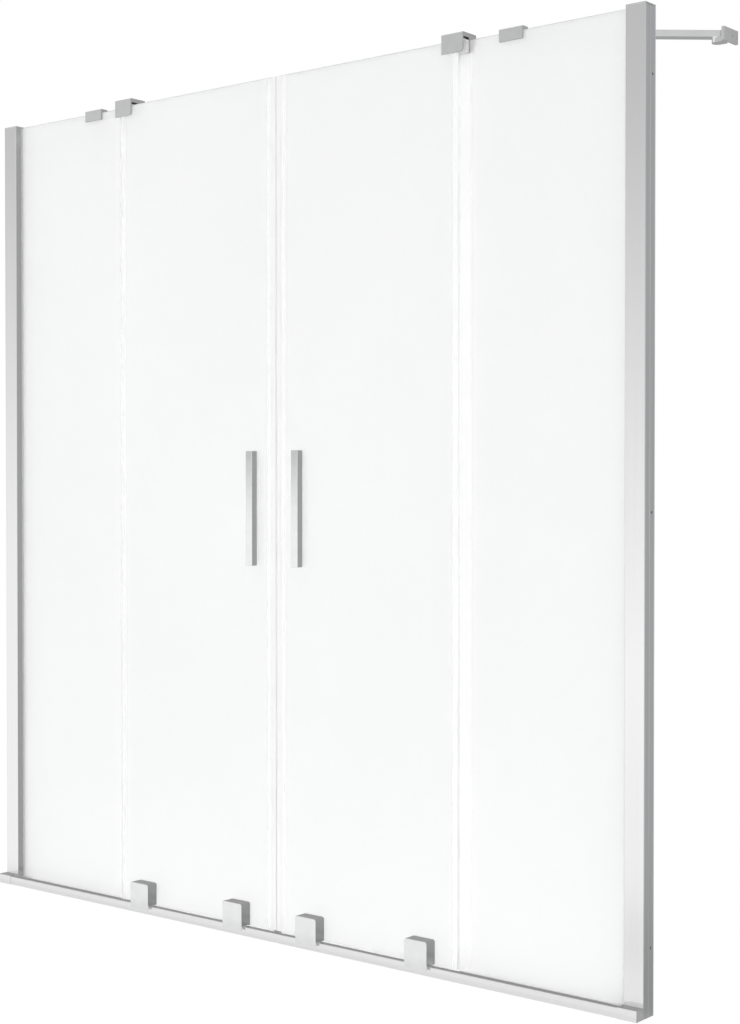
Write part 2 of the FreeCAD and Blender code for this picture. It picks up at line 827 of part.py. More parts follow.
def door_glass():
    """Sliding pane, drilled for its carriages and handles."""
    pane = block(
        "door_pane",
        ("door_inner", "door_outer"),
        ("door_front", "door_back"),
        ("door_lift", "door_top"),
    )
    through = ("door_front - slide_fit", "door_back + slide_fit")
    holes = [
        rod(f"pane_hole_{index}", "y", place, through, "clamp_screw_height", "screw_radius + glass_hole_play")
        for index, place in enumerate(clamp_screw_places())
    ]
    holes += [
        rod(f"handle_hole_{index}", "y", "handle_middle", through, height, "stud_radius + glass_hole_play")
        for index, height in enumerate(stud_heights())
    ]
    keep_pair("door_glass", cut("right_door_glass", pane, holes))


def handles():
    """A square pull bar on each face of the door, joined by studs through the glass."""
    length = about("handle_rise", "handle_length")
    across = about("handle_middle", "handle_width")
    outside = ("door_front - handle_depth", "door_front")
    inside = ("door_back", "door_back + handle_depth")
    studs_end = ("door_front - stud_bite", "door_back + stud_bite")
    socket_depth = (f"{studs_end[0]} - slide_fit", f"{studs_end[1]} + slide_fit")
    for name, depth in (("outer_handle", outside), ("inner_handle", inside)):
        bar = extrusion(f"{name}_bar", "XY_Plane", *length, rectangle(across, depth))
        round_edges(bar, f"{name}_soft_edges", "handle_edge", lambda edge: True)
        sockets = [
            rod(f"{name}_socket_{index}", "y", "handle_middle", socket_depth, height,
                "stud_radius + stud_play")
            for index, height in enumerate(stud_heights())
        ]
        keep_pair(name, cut(f"right_{name}", bar, sockets))
    studs = [
        rod(f"stud_{index}", "y", "handle_middle", studs_end, height, "stud_radius")
        for index, height in enumerate(stud_heights())
    ]
    keep_pair("handle_studs", group("right_handle_studs", studs))


def meeting_seal():
    """Magnetic seal where the two doors meet, with its magnet strip."""
    bulb = [
        ("meeting_gap / 2", "door_front - seal_skin"),
        ("door_inner + seal_leg", "door_front - seal_skin"),
        ("door_inner + seal_leg", "door_front"),
        ("door_inner", "door_front"),
        ("door_inner", "door_back"),
        ("door_inner + seal_leg", "door_back"),
        ("door_inner + seal_leg", "door_back + seal_skin"),
        ("meeting_gap / 2", "door_back + seal_skin"),
    ]
    hollow_width = ("meeting_gap / 2 + seal_skin", "door_inner - seal_skin")
    hollow = rectangle(hollow_width, ("door_front", "door_back"))
    seal = extrusion("right_meeting_seal", "XY_Plane", "seal_bottom", "door_top", bulb, hollow)
    keep_pair("meeting_seal", seal)
    magnet = block(
        "right_magnet_strip",
        ("meeting_gap / 2 + seal_skin + magnet_play", "door_inner - seal_skin - magnet_play"),
        ("door_front + magnet_play", "door_back - magnet_play"),
        ("seal_bottom", "door_top"),
    )
    keep_pair("magnet_strip", magnet)


def trailing_seal():
    """Seal on the door's outer edge whose fin sweeps the face of the fixed pane."""
    fin_depth = "pane_front - fin_clearance"
    section = [
        ("door_outer + seal_skin", "door_front - seal_skin"),
        ("door_outer + seal_skin", "door_back"),
        ("fin_tip", fin_depth),
        ("fin_tip - seal_skin", fin_depth),
        ("door_outer", "door_back + seal_skin"),
        ("door_outer - seal_leg", "door_back + seal_skin"),
        ("door_outer - seal_leg", "door_back"),
        ("door_outer", "door_back"),
        ("door_outer", "door_front"),
        ("door_outer - seal_leg", "door_front"),
        ("door_outer - seal_leg", "door_front - seal_skin"),
    ]
    seal = extrusion("right_trailing_seal", "XY_Plane", "seal_bottom", "seal_top", section)
    keep_pair("trailing_seal", seal)


def drip_seal():
    """Seal under the door pane, with a lip that hangs into the trough."""
    lip_bottom = "trough_floor + drip_clearance"
    section = [
        ("door_front - seal_skin", "door_lift - seal_skin"),
        ("door_back", "door_lift - seal_skin"),
        ("door_back", lip_bottom),
        ("door_back + seal_skin", lip_bottom),
        ("door_back + seal_skin", "drip_top"),
        ("door_back", "drip_top"),
        ("door_back", "door_lift"),
        ("door_front", "door_lift"),
        ("door_front", "drip_top"),
        ("door_front - seal_skin", "drip_top"),
    ]
    low, high = "door_inner + seal_gap", "door_outer - seal_gap"
    keep_pair("drip_seal", extrusion("right_drip_seal", "YZ_Plane", low, high, section))


def carriage(name, middle):
    """Box-shaped housing on the door's face: it hides the wheel and hangs over the rail's front."""
    width = about(middle, "carriage_width")
    block_depth = ("carriage_front", "door_front")
    face_outline = rectangle(width, ("lip_bottom", "carriage_top"))
    shell = extrusion(f"{name}_shell", "XZ_Plane", *block_depth, face_outline)
    roof = number("carriage_top")
    round_edges(shell, f"{name}_shoulders", "carriage_rounding",
                lambda edge: runs_along(1)(edge) and abs(edge.BoundBox.ZMin - roof) < edge.Tolerance)
    face = number("carriage_front")
    round_edges(shell, f"{name}_soft_edges", "carriage_edge",
                lambda edge: abs(edge.BoundBox.YMax - face) < edge.Tolerance)
    inside_depth = ("carriage_front + carriage_wall", "door_front - carriage_wall")
    under = block(f"{name}_underside", about(middle, "carriage_width + 2 * carriage_wall"),
                  ("carriage_front + carriage_wall", "door_front + slide_fit"),
                  ("lip_bottom - slide_fit", "carriage_bottom"))
    room = block(f"{name}_room", about(middle, "carriage_width - 2 * carriage_wall"), inside_depth,
                 ("lip_bottom", "carriage_top - carriage_wall"))
    hollow = cut(f"{name}_hollow", shell, [under, room])
    front_boss = rod(f"{name}_front_boss", "y", middle, (inside_depth[0], "wheel_front - boss_gap"),
                     "axle_rise", "boss_radius")
    back_boss = rod(f"{name}_back_boss", "y", middle, ("wheel_back + boss_gap", inside_depth[1]),
                    "axle_rise", "boss_radius")
    places = list(enumerate(about(middle, "clamp_screw_spacing")))
    screw_bosses = [
        rod(f"{name}_screw_boss_{index}", "y", place,
            ("door_front - screw_bite - carriage_wall", inside_depth[1]),
            "clamp_screw_height", "boss_radius")
        for index, place in places
    ]
    axle_hole = rod(f"{name}_axle_hole", "y", middle, (inside_depth[0], "door_front + slide_fit"),
                    "axle_rise", "axle_radius + axle_play")
    screw_holes = [
        rod(f"{name}_screw_hole_{index}", "y", place,
            ("door_front - screw_bite - axle_end_gap", "door_front + slide_fit"),
            "clamp_screw_height", "screw_radius + screw_play")
        for index, place in places
    ]
    housing = fuse(f"{name}_housing", [hollow, front_boss, back_boss] + screw_bosses)
    keep_pair(f"{name}_carriage", cut(f"right_{name}_carriage", housing, [axle_hole] + screw_holes))


def wheel(name, middle):
    """Nylon wheel that rolls on the track, turning on its axle."""
    body = doc.addObject("PartDesign::Body", f"right_{name}_wheel")
    half = "wheel_width / 2"
    recess = "wheel_width / 2 - wheel_recess"
    rim = "wheel_radius - wheel_rim"
    bore = "axle_radius + axle_play"
    half_section = [
        (f"-({half})", bore),
        (half, bore),
        (half, "wheel_hub_radius"),
        (recess, "wheel_hub_radius"),
        (recess, rim),
        (half, rim),
        (half, "wheel_radius - wheel_edge"),
        (f"{half} - wheel_edge", "wheel_radius"),
        (f"-({half}) + wheel_edge", "wheel_radius"),
        (f"-({half})", "wheel_radius - wheel_edge"),
        (f"-({half})", rim),
        (f"-({recess})", rim),
        (f"-({recess})", "wheel_hub_radius"),
        (f"-({half})", "wheel_hub_radius"),
    ]
    sketch = outline(body, f"{name}_wheel_section", "YZ_Plane", middle, [half_section])
    bind(sketch, AttachmentOffset__Base__x="wheel_depth", AttachmentOffset__Base__y="axle_rise")
    turned = body.newObject("PartDesign::Revolution", f"{name}_wheel_turned")
    turned.Profile = sketch
    turned.ReferenceAxis = (sketch, ["H_Axis"])
    turned.Angle = FULL_TURN
    doc.recompute()
    keep_pair(f"{name}_wheel", body)


def carriage_fittings():
    """Axle pins, plates behind the glass and the screws that clamp each carriage to its door."""
    pin_ends = ("carriage_front + carriage_wall + axle_end_gap", "door_front - axle_end_gap")
    pins = [
        rod(f"{name}_axle", "y", middle, pin_ends, "axle_rise", "axle_radius")
        for name, middle in CARRIAGES
    ]
    keep_pair("axle_pins", group("right_axle_pins", pins))
    plates = []
    through_plate = ("door_back - slide_fit", "clamp_back + slide_fit")
    for name, middle in CARRIAGES:
        plate = block(f"{name}_plate", about(middle, "clamp_width"), ("door_back", "clamp_back"),
                      ("clamp_top - clamp_height", "clamp_top"))
        holes = [
            rod(f"{name}_plate_hole_{index}", "y", place, through_plate,
                "clamp_screw_height", "screw_radius + screw_play")
            for index, place in enumerate(about(middle, "clamp_screw_spacing"))
        ]
        plates.append(cut(f"{name}_clamp_plate", plate, holes))
    keep_pair("clamp_plates", group("right_clamp_plates", plates))
    screws = [
        screw(
            f"clamp_screw_{index}", "y", place, ("door_front - screw_bite", "clamp_back"),
            "clamp_screw_height", "screw_radius",
            ("clamp_back", "clamp_back + screw_head_height"), "screw_head_radius",
        )
        for index, place in enumerate(clamp_screw_places())
    ]
    keep_pair("carriage_screws", group("right_carriage_screws", screws))


bottom_rail()
rail_end_cap()
wall_post()
wall_channel()
post_cap()
post_lock_screws()
fixed_pane()
glazing_gaskets()
pane_edge_seal()
top_guide()
guide_glider()
brace_clip()
clip_set_screws()
brace_bar()
wall_bracket()
brace_pivot_screws()
door_stops()
door_glass()
handles()
meeting_seal()
trailing_seal()
drip_seal()
for carriage_name, carriage_middle in CARRIAGES:
    carriage(carriage_name, carriage_middle)
    wheel(carriage_name, carriage_middle)
carriage_fittings()
doc.recompute()

for thing in doc.Objects:
    if "Invalid" in thing.State or "Error" in thing.State:
        raise RuntimeError(f"{thing.Label} failed: {thing.State}")
for node in nodes:
    if node.Shape.isNull() or not node.Shape.isValid():
        raise RuntimeError(f"{node.Label} has no valid shape")

os.makedirs("parts", exist_ok=True)
for node in nodes:
    node.Shape.exportStep(f"parts/{node.Label}.step")
    box = node.Shape.BoundBox
    print(f"{node.Label}: {len(node.Shape.Solids)} solids, {node.Shape.Volume:.0f} mm3")
    print(f"  X {box.XMin:.2f} to {box.XMax:.2f}, Y {box.YMin:.2f} to {box.YMax:.2f}, "
          f"Z {box.ZMin:.2f} to {box.ZMax:.2f}")
travel = number("stop_start - stop_play - door_outer")
print(f"{len(nodes)} nodes, door travel {travel:.1f} mm")
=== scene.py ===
# %% [markdown]
# # A sliding bath screen of satin glass
# The screen has two fixed panes and two sliding doors between two wall posts, on a low rail.
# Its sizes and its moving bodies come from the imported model, so this lesson only dresses it:
# finer edges on the glass and the fittings, real screw heads, a finish for every piece, soft
# studio light, and a camera where the photographer stood.

import json
import math

import bmesh
import bpy
from mathutils import Matrix, Vector

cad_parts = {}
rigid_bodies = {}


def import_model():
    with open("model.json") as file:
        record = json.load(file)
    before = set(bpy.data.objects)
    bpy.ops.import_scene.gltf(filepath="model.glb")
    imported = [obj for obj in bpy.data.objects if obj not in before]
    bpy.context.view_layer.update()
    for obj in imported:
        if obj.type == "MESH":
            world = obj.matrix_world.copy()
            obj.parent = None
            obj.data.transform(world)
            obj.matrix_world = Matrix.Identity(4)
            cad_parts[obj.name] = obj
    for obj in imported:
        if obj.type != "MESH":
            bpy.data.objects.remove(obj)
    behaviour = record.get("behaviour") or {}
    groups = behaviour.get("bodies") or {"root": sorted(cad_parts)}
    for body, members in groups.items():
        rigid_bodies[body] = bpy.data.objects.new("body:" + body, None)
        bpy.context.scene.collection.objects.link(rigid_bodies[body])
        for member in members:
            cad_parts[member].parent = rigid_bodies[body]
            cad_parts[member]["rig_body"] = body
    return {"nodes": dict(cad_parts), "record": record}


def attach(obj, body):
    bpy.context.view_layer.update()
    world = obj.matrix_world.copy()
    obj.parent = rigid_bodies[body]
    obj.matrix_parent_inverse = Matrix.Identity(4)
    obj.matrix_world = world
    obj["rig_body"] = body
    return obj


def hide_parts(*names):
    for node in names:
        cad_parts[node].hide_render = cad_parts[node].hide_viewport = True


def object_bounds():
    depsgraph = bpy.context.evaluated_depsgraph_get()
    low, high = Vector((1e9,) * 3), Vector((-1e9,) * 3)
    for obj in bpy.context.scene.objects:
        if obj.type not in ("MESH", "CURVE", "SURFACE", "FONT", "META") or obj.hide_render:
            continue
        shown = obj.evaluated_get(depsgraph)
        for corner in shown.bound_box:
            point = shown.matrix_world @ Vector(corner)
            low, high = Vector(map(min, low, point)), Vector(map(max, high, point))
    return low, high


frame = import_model()
cad_low, cad_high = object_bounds()
nodes = frame["nodes"]
MM = 0.001
cad_size = cad_high - cad_low
print(f"{len(nodes)} nodes, {cad_size.x:.3f} m wide, {cad_size.z:.3f} m high")

# %% [markdown]
# ## One way to start every finish
# A finish is a Principled shader with a little disorder in it. The disorder is a noise texture
# on Object coordinates, stretched by a Mapping node, so that it lies still on the piece and has a
# real size. It can vary the colour, the roughness and a fine bump. A number that is the same all
# over is set on the shader's own socket.

# %% Helpers for finishes
finishes = {}


def new_finish(name, **settings):
    """A material with a Principled shader whose sockets take the settings."""
    material = bpy.data.materials.new(name)
    material.use_nodes = True
    shader = material.node_tree.nodes["Principled BSDF"]
    for socket, value in settings.items():
        shader.inputs[socket.replace("_", " ").title().replace("Ior", "IOR")].default_value = value
    finishes[name] = material
    return material


def add_grain(material, stretch, detail=3.0):
    """A noise on Object coordinates; stretch is its number of waves per metre along X, Y and Z."""
    tree = material.node_tree
    place = tree.nodes.new("ShaderNodeTexCoord")
    mapping = tree.nodes.new("ShaderNodeMapping")
    mapping.inputs["Scale"].default_value = stretch
    noise = tree.nodes.new("ShaderNodeTexNoise")
    noise.inputs["Scale"].default_value = 1.0
    noise.inputs["Detail"].default_value = detail
    tree.links.new(place.outputs["Object"], mapping.inputs["Vector"])
    tree.links.new(mapping.outputs["Vector"], noise.inputs["Vector"])
    return noise.outputs["Fac"]


def vary_color(material, grain, dark, light):
    """Let the grain run the colour from dark to light."""
    tree = material.node_tree
    ramp = tree.nodes.new("ShaderNodeValToRGB")
    ramp.color_ramp.elements[0].position = 0.3
    ramp.color_ramp.elements[1].position = 0.7
    ramp.color_ramp.elements[0].color = (*dark, 1.0)
    ramp.color_ramp.elements[1].color = (*light, 1.0)
    tree.links.new(grain, ramp.inputs["Fac"])
    tree.links.new(ramp.outputs["Color"], tree.nodes["Principled BSDF"].inputs["Base Color"])


def vary_roughness(material, grain, smooth, rough):
    """Let the grain run the roughness from smooth to rough."""
    tree = material.node_tree
    span = tree.nodes.new("ShaderNodeMapRange")
    span.inputs["To Min"].default_value = smooth
    span.inputs["To Max"].default_value = rough
    tree.links.new(grain, span.inputs["Value"])
    tree.links.new(span.outputs["Result"], tree.nodes["Principled BSDF"].inputs["Roughness"])


def add_bump(material, grain, strength, depth):
    """Let the grain raise the surface; depth is in metres."""
    tree = material.node_tree
    bump = tree.nodes.new("ShaderNodeBump")
    bump.inputs["Strength"].default_value = strength
    bump.inputs["Distance"].default_value = depth
    tree.links.new(grain, bump.inputs["Height"])
    tree.links.new(bump.outputs["Normal"], tree.nodes["Principled BSDF"].inputs["Normal"])


# %% [markdown]
# ## Metal finishes
# The posts and the rail are drawn through a die and polished, so faint lines run along them: the
# noise is stretched along Z on the posts and along X on the rail. The fittings are cast, polished
# and plated, so they get soft clouds instead of lines, and the roller carriages are plated a shade
# duller. Screws and plates are plain stainless steel.

# %% Metals
ALONG_Z = (900.0, 900.0, 2.0)
ALONG_X = (2.0, 900.0, 900.0)

for name, stretch, tone in (("post_profile", ALONG_Z, 0.86), ("rail_profile", ALONG_X, 0.86)):
    profile = new_finish(name, metallic=1.0)
    lines = add_grain(profile, stretch)
    vary_color(profile, lines, (tone - 0.02,) * 3, (tone + 0.02,) * 3)
    vary_roughness(profile, lines, 0.17, 0.27)
    add_bump(profile, lines, 0.08, 0.02 * MM)

mill = new_finish("mill_aluminium", metallic=1.0)
mill_lines = add_grain(mill, (700.0, 700.0, 3.0))
vary_color(mill, mill_lines, (0.66, 0.67, 0.68), (0.78, 0.79, 0.80))
vary_roughness(mill, mill_lines, 0.30, 0.45)
add_bump(mill, mill_lines, 0.2, 0.03 * MM)

chrome = new_finish("chrome_fitting", metallic=1.0)
clouds = add_grain(chrome, (60.0, 60.0, 60.0), detail=5.0)
vary_color(chrome, clouds, (0.84, 0.845, 0.85), (0.88, 0.885, 0.89))
vary_roughness(chrome, clouds, 0.13, 0.22)
add_bump(chrome, clouds, 0.04, 0.05 * MM)

satin_chrome = new_finish("satin_chrome", metallic=1.0)
satin_clouds = add_grain(satin_chrome, (60.0, 60.0, 60.0), detail=5.0)
vary_color(satin_chrome, satin_clouds, (0.78, 0.785, 0.79), (0.82, 0.825, 0.83))
vary_roughness(satin_chrome, satin_clouds, 0.2, 0.28)
add_bump(satin_chrome, satin_clouds, 0.04, 0.05 * MM)

stainless = new_finish("stainless", metallic=1.0)
turning = add_grain(stainless, (400.0, 1500.0, 1500.0))
vary_color(stainless, turning, (0.56, 0.57, 0.58), (0.68, 0.69, 0.70))
vary_roughness(stainless, turning, 0.22, 0.36)
add_bump(stainless, turning, 0.1, 0.03 * MM)
print("metals:", ", ".join(finishes))

# %% [markdown]
# ## Glass and plastics
# Satin glass is clear glass whose face is etched. Light passes through it, but the etched face
# scatters it, so what touches the glass shows softly and what is further back melts into white.
# A transmissive shader with some roughness does that, and the rest of its weight stays a white
# face that catches light. The cut edge is darker, because there one looks along the pane through
# a great depth of glass. The seals are thin milky plastic that passes most of the light, so they
# almost vanish on the glass. The gaskets are pale or grey rubber, and the gliders and wheels are
# white nylon.

# %% Glass and plastics
glass = new_finish("satin_glass", ior=1.5, transmission_weight=0.32)
etch = add_grain(glass, (1800.0, 1800.0, 1800.0), detail=2.0)
haze = add_grain(glass, (3.0, 3.0, 1.2), detail=1.0)
vary_color(glass, haze, (0.966, 0.970, 0.969), (0.977, 0.981, 0.980))
vary_roughness(glass, etch, 0.42, 0.5)
add_bump(glass, etch, 0.1, 0.02 * MM)

cut_edge = new_finish("glass_edge", ior=1.5, transmission_weight=0.4)
edge_haze = add_grain(cut_edge, (25.0, 25.0, 25.0))
vary_color(cut_edge, edge_haze, (0.40, 0.45, 0.44), (0.50, 0.55, 0.54))
vary_roughness(cut_edge, edge_haze, 0.25, 0.4)
add_bump(cut_edge, edge_haze, 0.1, 0.05 * MM)

seal_finish = new_finish("clear_seal", ior=1.3, transmission_weight=0.6, alpha=0.4)
seal_lines = add_grain(seal_finish, (300.0, 300.0, 1.5))
vary_color(seal_finish, seal_lines, (0.95, 0.95, 0.95), (0.97, 0.97, 0.97))
vary_roughness(seal_finish, seal_lines, 0.42, 0.5)

nylon = new_finish("white_nylon")
nylon_grain = add_grain(nylon, (500.0, 500.0, 500.0))
vary_color(nylon, nylon_grain, (0.86, 0.86, 0.85), (0.91, 0.91, 0.90))
vary_roughness(nylon, nylon_grain, 0.38, 0.5)
add_bump(nylon, nylon_grain, 0.1, 0.03 * MM)

for name, tone in (("pale_gasket", 0.91), ("grey_gasket", 0.66)):
    gasket = new_finish(name)
    gasket_lines = add_grain(gasket, (400.0, 400.0, 3.0))
    vary_color(gasket, gasket_lines, (tone - 0.03,) * 3, (tone + 0.03,) * 3)
    vary_roughness(gasket, gasket_lines, 0.55, 0.7)
    add_bump(gasket, gasket_lines, 0.2, 0.05 * MM)

buffer_rubber = new_finish("stop_rubber")
rubber_grain = add_grain(buffer_rubber, (900.0, 900.0, 900.0))
vary_color(buffer_rubber, rubber_grain, (0.74, 0.745, 0.75), (0.81, 0.815, 0.82))
vary_roughness(buffer_rubber, rubber_grain, 0.6, 0.75)
add_bump(buffer_rubber, rubber_grain, 0.2, 0.05 * MM)

magnet = new_finish("magnet_strip")
magnet_grain = add_grain(magnet, (1200.0, 1200.0, 40.0))
vary_color(magnet, magnet_grain, (0.90, 0.90, 0.90), (0.95, 0.95, 0.95))
vary_roughness(magnet, magnet_grain, 0.5, 0.65)
add_bump(magnet, magnet_grain, 0.15, 0.03 * MM)
print("all finishes:", ", ".join(finishes))

# %% [markdown]
# ## Every carried node gets its finish
# The record names a material slot for each node. Most slots are finishes of the same name. The
# polished profile needs two, because its lines run along the piece, the roller carriages take the
# duller plating, and the gaskets in the posts are grey, so that they hide beside the metal.

# %% Dress the nodes
slot_of = {part["node"]: part["material_slot"] for part in frame["record"]["subparts"]}
RAIL_NODES = ("threshold_rail", "left_rail_end_cap", "right_rail_end_cap")


def finish_for(node_name):
    """The finish of a node, from its material slot and the few exceptions."""
    if node_name.endswith("carriage"):
        return finishes["satin_chrome"]
    if node_name == "post_gaskets":
        return finishes["grey_gasket"]
    if slot_of[node_name] == "polished_profile":
        return finishes["rail_profile" if node_name in RAIL_NODES else "post_profile"]
    return finishes[slot_of[node_name]]


for node_name, node in nodes.items():
    node.data.materials.clear()
    node.data.materials.append(finish_for(node_name))
print("dressed", len(nodes), "nodes")

# %% [markdown]
# ## Finer edges from a copy of the node
# No real edge is knife-sharp: glass has a ground arris, and a seal comes out of its die with
# rounded lips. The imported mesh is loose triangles, so a copy is welded, its triangles are
# dissolved back into flat faces, and the chosen sharp edges get a bevel. The copy then stands
# for the node and rides on the same body. Modelling each piece anew would also work, but the
# copy keeps every hole and slot exactly where the sizes put it. A Weighted Normal modifier lets
# the large faces rule the shading, so they stay flat and only the bevels look round.

# %% Helper for softened pieces
SHARP = math.radians(40)
FLAT = math.radians(0.6)
WELD = 0.002 * MM
BEVEL_STEPS = 2


def link_piece(name, mesh, node_names):
    """Put a finished mesh in the scene for the nodes that it stands for."""
    first = node_names[0]
    piece = bpy.data.objects.new(name, mesh)
    bpy.context.scene.collection.objects.link(piece)
    mesh.materials.clear()
    mesh.materials.append(finish_for(first))
    even = piece.modifiers.new("even_normals", "WEIGHTED_NORMAL")
    even.keep_sharp = True
    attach(piece, nodes[first]["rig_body"])
    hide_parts(*node_names)
    return piece


def shade_by_angle(bm):
    """Smooth faces, with creases where two faces meet at a sharp angle."""
    for face in bm.faces:
        face.smooth = True
    for edge in bm.edges:
        edge.smooth = len(edge.link_faces) == 2 and edge.calc_face_angle(0.0) < SHARP


def welded_copy(node_name):
    """A node's mesh with its triangles welded and dissolved into flat faces."""
    bm = bmesh.new()
    bm.from_mesh(nodes[node_name].data)
    bmesh.ops.remove_doubles(bm, verts=bm.verts[:], dist=WELD)
    bmesh.ops.dissolve_limit(bm, angle_limit=FLAT, verts=bm.verts[:], edges=bm.edges[:])
    return bm


def softened(node_name, piece_name, width, shortest, relief=0.0):
    """A copy of a node, bevelled on its longer sharp edges and drawn in by the relief."""
    bm = welded_copy(node_name)
    chosen = [
        edge for edge in bm.edges
        if len(edge.link_faces) == 2
        and edge.calc_length() >= shortest
        and edge.calc_face_angle_signed(0.0) > SHARP
    ]
    bmesh.ops.bevel(
        bm, geom=chosen, offset=width, offset_type="OFFSET", segments=BEVEL_STEPS, profile=0.5,
        affect="EDGES", clamp_overlap=True, material=-1,
    )
    bmesh.ops.dissolve_degenerate(bm, edges=bm.edges[:], dist=WELD)
    bmesh.ops.recalc_face_normals(bm, faces=bm.faces[:])
    bm.normal_update()
    for vert in bm.verts:
        vert.co -= relief * vert.normal
    shade_by_angle(bm)
    mesh = bpy.data.meshes.new(piece_name)
    bm.to_mesh(mesh)
    bm.free()
    print(f"{piece_name}: {len(chosen)} edges softened, {len(mesh.polygons)} faces")
    return link_piece(piece_name, mesh, [node_name])


# %% [markdown]
# ## The glass panes
# Each pane is 6 mm safety glass with a ground and polished arris of about half a millimetre all
# round. Only its long straight edges are chosen, so the drilled holes stay as they are. The top
# edge is the only cut edge that nothing covers, so it takes the darker finish. The panes let light
# through to the floor, so they throw no shadow, and polished metal does not mirror them.

# %% Panes
SIDES = ("left", "right")
LONG_EDGE = 5 * MM
TOP_SLOPE = 0.3
for side in SIDES:
    for pane in ("door_glass", "fixed_pane"):
        ground = softened(f"{side}_{pane}", f"{side}_{pane}_ground", 0.5 * MM, LONG_EDGE)
        ground.data.materials.append(cut_edge)
        for face in ground.data.polygons:
            face.material_index = int(face.normal.z > TOP_SLOPE)
        ground.visible_shadow = False
        ground.visible_glossy = False

# %% [markdown]
# ## The seals and gliders
# Soft plastic lips are round, and a nylon glider has its entry corners broken so that the glass
# slides in without catching. A clear seal throws next to no shadow, and neither does the white
# magnet strip inside it, so that the gap where the doors meet stays light. Each seal is drawn a
# hair smaller, so that no two clear faces lie in one plane.

# %% Seals and gliders
RELIEF = 0.05 * MM
LIP_EDGE = 100 * MM
for side in SIDES:
    for seal in ("meeting_seal", "trailing_seal", "drip_seal", "pane_edge_seal"):
        lip = softened(f"{side}_{seal}", f"{side}_{seal}_lip", 0.3 * MM, LIP_EDGE, RELIEF)
        lip.visible_shadow = False
        lip.visible_glossy = False
    strip = softened(
        f"{side}_magnet_strip", f"{side}_magnet_strip_eased", 0.4 * MM, LIP_EDGE, RELIEF
    )
    strip.visible_shadow = False
    strip.visible_diffuse = False
    strip.visible_glossy = False
    softened(f"{side}_guide_glider", f"{side}_guide_glider_eased", 0.4 * MM, LONG_EDGE)

# %% [markdown]
# ## The drawn profiles
# A drawn profile has a small radius on every corner, because a die with knife edges would tear the
# metal. The posts are left out of reflections, so that the rail and its caps mirror the plain cards
# and not their neighbours. They are also left out of bounced light and of what is seen through the
# glass, which keeps the panes beside them light. The rail throws no shadow at all, on the floor
# either, so that the foot of the panes stays as light as the glass above it.

# %% Posts, channels and rail
DIE_RADIUS = 0.3 * MM
for side in SIDES:
    post = softened(f"{side}_post", f"{side}_post_drawn", DIE_RADIUS, LONG_EDGE)
    post.visible_glossy = False
    post.visible_diffuse = False
    post.visible_transmission = False
    softened(f"{side}_wall_channel", f"{side}_wall_channel_drawn", DIE_RADIUS, LONG_EDGE)
rail = softened("threshold_rail", "threshold_rail_drawn", DIE_RADIUS, LONG_EDGE)
rail.visible_shadow = False
rail.visible_diffuse = False

# %% [markdown]
# ## The metal fittings
# A cast fitting is polished before it is plated, and that takes the sharpness off its edges. The
# thin rounded edge is what catches a bright line of light in the photograph. The photograph shows
# no shade on the glass round the fittings of the doors, so these are set to throw none.

# %% Fittings
POLISHED = 0.25 * MM
SHORT_EDGE = 2 * MM
ON_DOOR = ("outer_handle", "inner_handle", "inner_carriage", "outer_carriage")
FITTINGS = ("top_guide", "brace_clip", "brace_bar", "wall_bracket", "post_cap", "rail_end_cap",
            *ON_DOOR)
for side in SIDES:
    for fitting in FITTINGS:
        name = f"{side}_{fitting}"
        polished = softened(name, f"{name}_polished", POLISHED, SHORT_EDGE)
        polished.visible_shadow = fitting not in ON_DOOR
        polished.visible_diffuse = fitting not in ON_DOOR

# %% [markdown]
# ## The clamp plates
# Behind each carriage a steel plate clamps the glass. Steel must not touch glass, so the face that
# bears on the pane and the plate's rim are coated with pale rubber.

# %% Clamp plates
BARE_FACE = 0.5
for side in SIDES:
    name = f"{side}_clamp_plates"
    plates = softened(name, f"{name}_padded", POLISHED, SHORT_EDGE)
    plates.data.materials.append(finishes["pale_gasket"])
    for face in plates.data.polygons:
        face.material_index = int(face.normal.y < BARE_FACE)

# %% [markdown]
# ## Socket heads on the screws
# The screws are turned with a hex key, so each head has a six-sided socket and a broken rim. The
# flat end of a head is one face after dissolving. It is taken out, a small hexagon is laid in its
# plane, the two loops are bridged, and the hexagon is extruded inwards and filled. A boolean would
# cut the same socket, but it leaves ragged faces round the rim.

# %% Helper for socket heads
HEXAGON = 6
RIM_BEVEL = 0.25 * MM
SAME_WAY = 0.999
ROUND_END = 8


